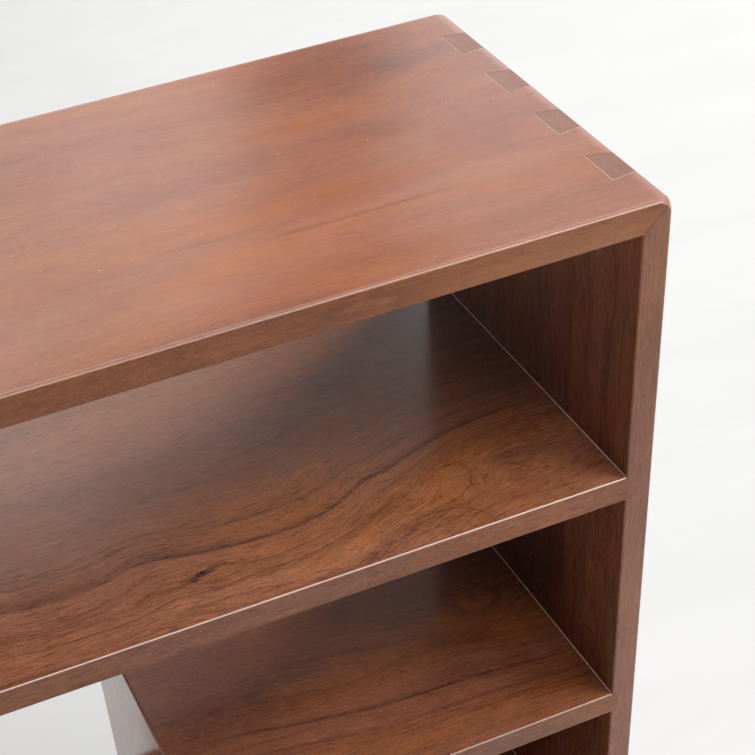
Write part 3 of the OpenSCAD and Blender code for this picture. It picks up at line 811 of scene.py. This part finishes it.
def timber_material(name, group, timber):
    """Material of one board, with its own grain, marks, edges and end grain."""
    board = BOARDS[name]
    material, n = new_material("timber_" + name)
    face = Face(n, board.grain)
    u, w, tone = face.u, face.w, board.tone
    if name in STAVES:
        back = n.math("GREATER_THAN", face.v, STAVES[name].v)
        u = n.times_plus(back, STAVE_SHIFT[0], u)
        w = n.times_plus(back, STAVE_SHIFT[1], w)
        tone = n.times_plus(back, STAVES[name].tone, tone)
    place = n.vector("ADD", n.join(u, face.v, w), board.shift)
    tone, hue = tone_and_painted_light(n, face, name, tone, board.hue)
    bend, rise = bends(n, face, name)
    streak, knot = dark_marks(n, face, name, rise)
    lines, fine = strengths(n, face, name)
    cloud, sheen = board.cloud, sheen_of(n, face, name)
    if name in EDGES:
        edge = EDGES[name]
        facing = n.math("ABSOLUTE", face.normal[0] if board.grain == "Z" else face.up)

        def turned(on_edge, on_face):
            return n.spread(facing, *FACE_TURN, on_edge, on_face)

        lines, fine = turned(edge.lines, lines), turned(edge.fine, fine)
        cloud = turned(edge.cloud, cloud)
        tone = n.plus(tone, turned(edge.tone, 0.0))
        hue = n.plus(hue, turned(edge.hue, 0.0))
        if edge.sheen != sheen:
            sheen = turned(edge.sheen, sheen)
    inputs = {"Vector": place, "Bend": bend, "Rate": board.rate, "Lines": lines, "Fine": fine}
    inputs.update({"Cloud": cloud, "Tone": tone, "Hue": hue, "Streak": streak, "Knot": knot})
    figure = n.add("ShaderNodeGroup", inputs, node_tree=group)
    ends = n.spread(face.lengthways, *END_TURN)
    body = n.mix(ends, figure.outputs["Color"], end_grain(n, face, place, timber))
    body = dusted(n, face, name, timber, body)
    body = painted_edge_highlights(n, face, name, timber, body)
    rough = n.times_plus(ends, 0.08, figure.outputs["Roughness"])
    sockets = {"IOR": LACQUER_IOR, "Specular_IOR_Level": sheen}
    finish_surface(n, body, rough, figure.outputs["Height"], PORE_DEPTH, **sockets)
    return material


def dress(node, material):
    """Gives a CAD node its material."""
    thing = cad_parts[node]
    if not thing.material_slots:
        thing.data.materials.append(material)
    for slot in thing.material_slots:
        slot.material = material


def dress_boards(names):
    """Gives some boards their timber. They share one node group."""
    timber = bpy.context.scene.bookcase_timber
    group = bpy.data.node_groups.get("Stained timber") or timber_group(timber)
    for name in names:
        dress(name, timber_material(name, group, timber))


# Joint lines

# How far the lacquer in a corner keeps off the wood, the relief of a line, and
# how much darker and lighter than its colour it gets
FILLET_CLEAR = 0.02 * MM
LINE_RELIEF = 0.02 * MM
LINE_TONES = (0.72, 1.12)


def add_thing(name, data):
    thing = bpy.data.objects.new(name, data)
    bpy.context.collection.objects.link(thing)
    return thing


def strips(name, quads, material):
    """One object of flat strips. Each strip is four corners."""
    points = [point for quad in quads for point in quad]
    faces = [tuple(range(4 * i, 4 * i + 4)) for i in range(len(quads))]
    mesh = bpy.data.meshes.new(name)
    mesh.from_pydata(points, [], faces)
    mesh.materials.append(material)
    mesh.validate()
    thing = add_thing(name, mesh)
    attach(thing, CASE)


def line_on(a, b, normal, width, rise):
    """A strip from a to b on a face with this normal."""
    a, b, normal = Vector(a), Vector(b), Vector(normal)
    side = (b - a).cross(normal).normalized() * (width / 2)
    lift = normal * rise
    return [a - side + lift, b - side + lift, b + side + lift, a + side + lift]


def line_material(name, tone, roughness):
    material, n = new_material(name)
    grain = n.noise(n.place(), 420.0, 3.0, 0.6)
    low, high = (scaled(tone, factor) for factor in LINE_TONES)
    shade = n.mix(n.spread(grain, 0.3, 0.7), low, high)
    rough = n.times_plus(grain, 0.1, roughness)
    finish_surface(n, shade, rough, grain, LINE_RELIEF, IOR=LACQUER_IOR)
    return material


def corner_lines(joints):
    """The pale and the dark lines of the four dovetailed corners."""
    low, high = (Vector(corner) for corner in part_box("top_board"))
    front, back, outer = low.y, high.y, high.x
    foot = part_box("bottom_board")[0][2]
    inner = outer - joints.board
    reach = outer - joints.round_outer
    pitch = (back - front - 2 * joints.pin_inset) / (joints.pin_count - 1)
    middles = [front + joints.pin_inset + i * pitch for i in range(joints.pin_count)]

    # Half the width of a pin: outside, inside, and where the rounding starts
    tip = joints.pin_width / 2
    root = tip + joints.board / joints.pin_slope
    far = root - (reach - inner) * (root - tip) / joints.board
    pale, dark = [], []

    def draw(lines, start, end, normal):
        lines.append(line_on(start, end, normal, joints.line_width, joints.line_rise))

    for face_z, up in ((high.z, 1), (foot, -1)):
        inside_z = face_z - up * joints.board
        edge_z = face_z - up * joints.round_outer
        for sign in (-1, 1):
            # Pins in the face of the top or bottom
            for y in middles:
                start = (sign * inner, y - root, face_z)
                end = (sign * inner, y + root, face_z)
                draw(pale, start, end, (0, 0, up))
                draw(pale, start, (sign * reach, y - far, face_z), (0, 0, up))
                draw(dark, end, (sign * reach, y + far, face_z), (0, 0, up))
            # Tail ends on the outer face of the side
            x = sign * outer
            for y in middles:
                for flank in (y - tip, y + tip):
                    draw(dark, (x, flank, inside_z), (x, flank, edge_z), (sign, 0, 0))
            for a, b in zip(middles[:-1], middles[1:]):
                draw(pale, (x, a + tip, inside_z), (x, b - tip, inside_z), (sign, 0, 0))
            # Mitres at the front and the back edge
            for y, way in ((front, -1), (back, 1)):
                start = (sign * inner, y, inside_z)
                draw(dark, start, (sign * reach, y, edge_z), (0, way, 0))
    return pale, dark


def corner_fillets(joints):
    """The lacquer that gathers where an upright stands on a shelf, pale as a painted highlight."""
    low, high = (Vector(corner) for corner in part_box("top_board"))
    inner = high.x - joints.board
    front, back = low.y + joints.round_shelf, high.y - joints.round_shelf
    half_left, half_right = (corner[0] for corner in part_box("half_divider"))
    low_left, low_right = (corner[0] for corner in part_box("lower_divider"))
    # The uprights' faces on each shelf, and the way that each face looks
    uprights = {
        "upper_shelf": ((-inner, 1), (inner, -1)),
        "half_shelf": ((inner, -1),),
        "deck_shelf": ((-inner, 1), (half_left, -1), (half_right, 1), (inner, -1)),
        "bottom_board": ((-inner, 1), (low_left, -1), (low_right, 1), (inner, -1)),
    }
    fillets = []
    for shelf, faces in uprights.items():
        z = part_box(shelf)[1][2]
        for x, way in faces:
            foot = x + way * joints.fillet, z + FILLET_CLEAR
            head = x + way * FILLET_CLEAR, z + joints.fillet
            corners = (foot, front), (head, front), (head, back), (foot, back)
            fillets.append([Vector((at[0], y, at[1])) for at, y in corners])
    return fillets


# Bare wood, nylon and metal


def bare_wood(tone):
    material, n = new_material("bare_wood")
    place = n.place()
    grain = n.drawn_noise(place, (20.0, 20.0, 900.0), 3.0, 0.6)
    bands = n.drawn_noise(place, (4.0, 4.0, 120.0), 2.0, 0.5)
    bare = n.mix(n.spread(grain, 0.3, 0.7), scaled(tone, 0.75), tone)
    bare = n.mix(n.spread(bands, 0.35, 0.65, 0.0, 0.4), bare, scaled(tone, 0.6))
    finish_surface(n, bare, n.times_plus(grain, 0.15, 0.6), grain, 0.1 * MM, IOR=1.45)
    return material


def scuffed_nylon(tone):
    material, n = new_material("glide_nylon")
    place = n.place()
    grain = n.noise(place, 1400.0, 3.0, 0.6)
    scuff = n.drawn_noise(place, (60.0, 300.0, 300.0), 3.0, 0.6)
    shade = n.mix(n.spread(scuff, 0.5, 0.8, 0.0, 0.5), tone, scaled(tone, 2.4))
    finish_surface(n, shade, n.times_plus(scuff, 0.25, 0.4), grain, 0.05 * MM, IOR=1.5)
    return material


def metal(name, tone, stretch, tarnished, roughness):
    """Turned or drawn metal. Stretch is the rate of its marks along x, y and z."""
    material, n = new_material(name)
    place = n.place()
    turned = n.drawn_noise(place, stretch, 3.0, 0.6)
    tarnish = n.noise(place, 160.0, 4.0, 0.6)
    shade = n.mix(n.spread(tarnish, 0.45, 0.75, 0.0, tarnished), tone, scaled(tone, 0.45))
    rough = n.weighted(roughness, (tarnish, 0.15), (turned, 0.12))
    finish_surface(n, shade, rough, turned, 0.01 * MM, Metallic=1.0)
    return material


# Studio

# Soft round lights: degrees from the back towards the right, degrees above the
# horizon, diameter in metres and watts. They all look at one point.
Light = namedtuple("Light", "name turn rise size power")

LIGHTS = (
    Light("window", 62.0, 27.0, 2.4, 454.0),
    Light("right_front", 135.0, 35.0, 3.2, 106.0),
    Light("right", 112.0, 35.0, 3.2, 82.0),
    Light("right_high", 120.0, 60.0, 3.2, 239.0),
    Light("front_high", 180.0, 60.0, 3.2, 164.0),
    Light("back_left", -25.0, 27.0, 2.4, 11.0),
    Light("back_left_high", -5.0, 40.0, 2.8, 14.0),
    Light("back_middle", 8.0, 27.0, 2.4, 21.5),
    Light("back_high", 15.0, 40.0, 2.8, 6.0),
    Light("back", 22.0, 27.0, 2.4, 4.5),
    Light("back_right", 36.0, 27.0, 2.4, 19.0),
    Light("back_right_low", 30.0, 15.0, 2.4, 14.9),
)
LIGHT_REACH = 6.8
LIGHT_AIM = (0.2, 0.0, 1.0)

# Half the floor's width, how far out it goes over into the room, and its smears
FLOOR_HALF = 12.0
FLOOR_ENDS = (3.4, 5.2)
FLOOR_SMEAR = 0.965

SENSOR = 36.0
CAMERA_PLACE = (-0.0727, -0.92153, 1.67916)
CAMERA_DEGREES = (46.559, 3.5824, -23.9513)
CAMERA_SHIFT = (0.04685, 0.33587)
CAMERA_SIGHT = 60.0

WHITE = (1.0, 1.0, 1.0)


def floor_material(studio):
    """Pale floor with faint smears. Away from the case it goes over into the
    white room, and from below it is clear."""
    material, n = new_material("pale_floor")
    place = n.place()
    x, y, _ = n.split(place)
    smear = n.drawn_noise(place, (2.0, 6.0, 1.0), 4.0, 0.6, 0.5)
    tone = n.mix(n.spread(smear, 0.3, 0.7), scaled(studio.floor, FLOOR_SMEAR), studio.floor)
    # Painted light: darker to the right, a little lighter to the back, against the lights' fall
    floor_painted_light = n.spread(x, 0.9, 2.1, 1.06, 0.90, smooth=False)
    floor_painted_light = n.plus(floor_painted_light, n.spread(y, 1.0, 3.0, 0.0, 0.09, smooth=False))
    tone = n.vector("MULTIPLY", tone, n.join(floor_painted_light, floor_painted_light, floor_painted_light))
    seen = n.add("ShaderNodeLightPath").outputs["Is Camera Ray"]
    tone = n.mix(seen, tone, n.mix(1.0, tone, (studio.seen_tone,) * 3, "MULTIPLY"))
    matt = principled(n, tone, 0.8, IOR=1.45)

    away = n.math("SQRT", n.times_plus(x, x, n.times(y, y)))
    far = n.times(seen, n.spread(away, *FLOOR_ENDS))
    white = n.add("ShaderNodeEmission", {"Color": WHITE, "Strength": 1.0})
    near = n.add("ShaderNodeMixShader", {0: far, 1: matt, 2: white.outputs[0]})
    below = n.times(seen, n.add("ShaderNodeNewGeometry").outputs["Backfacing"])
    clear = n.add("ShaderNodeBsdfTransparent", {"Color": WHITE})
    whole = n.add("ShaderNodeMixShader", {0: below, 1: near.outputs[0], 2: clear.outputs[0]})
    n.add("ShaderNodeOutputMaterial", {"Surface": whole.outputs[0]})
    return material


def add_floor(studio):
    corners = [(-1, -1), (1, -1), (1, 1), (-1, 1)]
    mesh = bpy.data.meshes.new("studio_floor")
    mesh.from_pydata([(FLOOR_HALF * x, FLOOR_HALF * y, 0) for x, y in corners], [], [(0, 1, 2, 3)])
    mesh.materials.append(floor_material(studio))
    floor = add_thing("studio_floor", mesh)


def add_room(scene, studio):
    """Dim for the light that falls on things, white where it is seen."""
    world = bpy.data.worlds.new("studio_room")
    scene.world = world
    world.use_nodes = True
    world.node_tree.nodes.clear()
    n = Nodes(world.node_tree)
    seen = n.add("ShaderNodeLightPath").outputs["Is Camera Ray"]
    strength = n.spread(seen, 0.0, 1.0, studio.sky, 1.0, smooth=False)
    back = n.add("ShaderNodeBackground", {"Color": WHITE, "Strength": strength})
    n.add("ShaderNodeOutputWorld", {"Surface": back.outputs[0]})


def add_lights(studio):
    for light in LIGHTS:
        turn, rise = math.radians(light.turn), math.radians(light.rise)
        level = math.cos(rise)
        way = Vector((math.sin(turn) * level, math.cos(turn) * level, math.sin(rise)))
        lamp = bpy.data.lights.new(light.name, "AREA")
        lamp.shape = "DISK"
        lamp.size = light.size
        lamp.energy = light.power * studio.light
        thing = add_thing(light.name, lamp)
        thing.location = Vector(LIGHT_AIM) + way * LIGHT_REACH
        thing.rotation_euler = (-way).to_track_quat("-Z", "Y").to_euler()


def add_camera(scene, studio):
    camera = bpy.data.cameras.new("studio_camera")
    camera.sensor_width = SENSOR
    camera.lens = studio.lens
    camera.shift_x, camera.shift_y = CAMERA_SHIFT
    camera.clip_end = CAMERA_SIGHT
    thing = add_thing("studio_camera", camera)
    thing.location = CAMERA_PLACE
    thing.rotation_euler = Euler([math.radians(angle) for angle in CAMERA_DEGREES], "XYZ")
    scene.camera = thing


# Operators


class BOOKCASE_OT_case(bpy.types.Operator):
    """Finish the four boards of the case"""

    bl_idname = "bookcase.case"
    bl_label = "Case boards"

    def execute(self, context):
        dress_boards(CASE_BOARDS)
        return {"FINISHED"}


class BOOKCASE_OT_fixed_shelves(bpy.types.Operator):
    """Finish the fixed shelves and dividers"""

    bl_idname = "bookcase.fixed_shelves"
    bl_label = "Fixed shelves"

    def execute(self, context):
        dress_boards(FIXED_BOARDS)
        return {"FINISHED"}


class BOOKCASE_OT_loose_shelves(bpy.types.Operator):
    """Finish the adjustable shelves"""

    bl_idname = "bookcase.loose_shelves"
    bl_label = "Adjustable shelves"

    def execute(self, context):
        dress_boards(LOOSE_BOARDS)
        return {"FINISHED"}


class BOOKCASE_OT_plinth(bpy.types.Operator):
    """Finish the plinth, its blocks and its glides"""

    bl_idname = "bookcase.plinth"
    bl_label = "Plinth"

    def execute(self, context):
        dress_boards(PLINTH_RAILS)
        dress("plinth_blocks", bare_wood(context.scene.bookcase_timber.bare))
        dress("glides", scuffed_nylon(context.scene.bookcase_fittings.nylon))
        return {"FINISHED"}


class BOOKCASE_OT_fittings(bpy.types.Operator):
    """Finish the shelf pins, sleeves and screws"""

    bl_idname = "bookcase.fittings"
    bl_label = "Pins, sleeves and screws"

    def execute(self, context):
        fittings = context.scene.bookcase_fittings
        pins = metal("pin_brass", fittings.brass, (4200.0, 300.0, 300.0), 0.25, 0.16)
        sleeves = metal("sleeve_brass", fittings.sleeve, (2600.0, 2600.0, 2600.0), 0.4, 0.20)
        steel = metal("screw_zinc", fittings.steel, (900.0, 900.0, 4000.0), 0.3, 0.28)
        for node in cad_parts:
            if node.startswith("pin_"):
                dress(node, pins)
            elif node.startswith("sleeves_"):
                dress(node, sleeves)
        dress("plinth_screws", steel)
        return {"FINISHED"}


class BOOKCASE_OT_joint_lines(bpy.types.Operator):
    """Draw the glue lines of the corners and the lacquer in the shelf corners, pale as a painted
    highlight
    """

    bl_idname = "bookcase.joint_lines"
    bl_label = "Joint lines"

    def execute(self, context):
        joints = context.scene.bookcase_joints
        pale, dark = corner_lines(joints)
        glue = line_material("glue_line", joints.glue, 0.3)
        gap = line_material("shadow_line", joints.gap, 0.4)
        # The fillets' pale colour is partly a painted highlight along the corners
        lacquer = line_material("lacquer_and_highlight_fillet", joints.lacquer, 0.15)
        strips("glue_lines", pale, glue)
        strips("shadow_lines", dark, gap)
        strips("lacquer_and_highlight_fillets", corner_fillets(joints), lacquer)
        return {"FINISHED"}


class BOOKCASE_OT_studio(bpy.types.Operator):
    """Set up the floor, the light and the camera"""

    bl_idname = "bookcase.studio"
    bl_label = "Studio"

    def execute(self, context):
        scene = context.scene
        studio = scene.bookcase_studio
        scene.view_settings.view_transform = "Standard"
        add_floor(studio)
        add_room(scene, studio)
        add_lights(studio)
        add_camera(scene, studio)
        return {"FINISHED"}


class BOOKCASE_PT_panel(bpy.types.Panel):
    """Steps and settings of the finish"""

    bl_idname = "BOOKCASE_PT_panel"
    bl_label = "Bookcase finish"
    bl_space_type = "VIEW_3D"
    bl_region_type = "UI"
    bl_category = "Bookcase"

    def draw(self, context):
        for step in STEPS:
            self.layout.operator(step.bl_idname)
        for name in GROUPS:
            group = getattr(context.scene, name)
            box = self.layout.box()
            box.label(text=type(group).__doc__)
            for key in type(group).__annotations__:
                box.prop(group, key)


STEPS = (
    BOOKCASE_OT_case,
    BOOKCASE_OT_fixed_shelves,
    BOOKCASE_OT_loose_shelves,
    BOOKCASE_OT_plinth,
    BOOKCASE_OT_fittings,
    BOOKCASE_OT_joint_lines,
    BOOKCASE_OT_studio,
)
CLASSES = (*GROUPS.values(), *STEPS, BOOKCASE_PT_panel)


def register():
    for each in CLASSES:
        bpy.utils.register_class(each)
    for name, group in GROUPS.items():
        setattr(bpy.types.Scene, name, PointerProperty(type=group))


def unregister():
    for name in GROUPS:
        delattr(bpy.types.Scene, name)
    for each in reversed(CLASSES):
        bpy.utils.unregister_class(each)


def main():
    register()
    for step in STEPS:
        family, action = step.bl_idname.split(".")
        result = getattr(getattr(bpy.ops, family), action)()
        if "FINISHED" not in result:
            raise RuntimeError(step.bl_idname + " did not finish")


if __name__ == "__main__":
    main()
